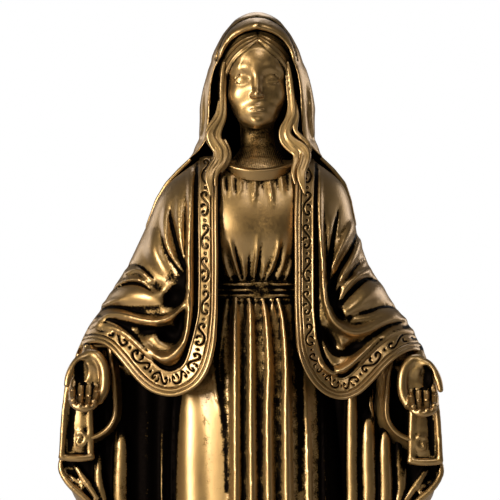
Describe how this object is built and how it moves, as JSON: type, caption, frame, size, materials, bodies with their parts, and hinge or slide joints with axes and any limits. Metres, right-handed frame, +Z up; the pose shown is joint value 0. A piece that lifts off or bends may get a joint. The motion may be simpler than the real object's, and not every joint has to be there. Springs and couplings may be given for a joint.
{
  "type": "madonna statue",
  "caption": "Standing devotional figure of a veiled woman with open lowered arms on a globe and a round plinth; rests on a flat felt base.",
  "frame": {"origin": "centre of the underside of the felt pad, on the axis of the round plinth", "axes": "+Z up to the top of the veil, the figure faces -Y, +X is on the right of someone who looks at the face"},
  "size_m": [0.1368, 0.086, 0.3],
  "materials": {
    "bronze_finish": "marble-dust resin casting with an antique bronze finish, black in the recesses",
    "steel": "zinc plated",
    "felt": "pressed felt, self-adhesive"
  },
  "bodies": {
    "root": {"felt_pad": "felt", "plinth": "bronze_finish", "globe": "bronze_finish", "serpent": "bronze_finish", "tie_rod": "steel", "tie_nuts": "steel", "tie_washers": "steel", "gown": "bronze_finish", "belt": "bronze_finish", "collar": "bronze_finish", "foot_left": "bronze_finish", "foot_right": "bronze_finish", "mantle": "bronze_finish", "border_left": "bronze_finish", "border_right": "bronze_finish", "cuff_left": "bronze_finish", "cuff_right": "bronze_finish", "hand_left": "bronze_finish", "hand_right": "bronze_finish", "wrist_dowel_left": "steel", "wrist_dowel_right": "steel", "head": "bronze_finish", "hair_left": "bronze_finish", "hair_right": "bronze_finish", "veil": "bronze_finish"}
  },
  "joints": []
}
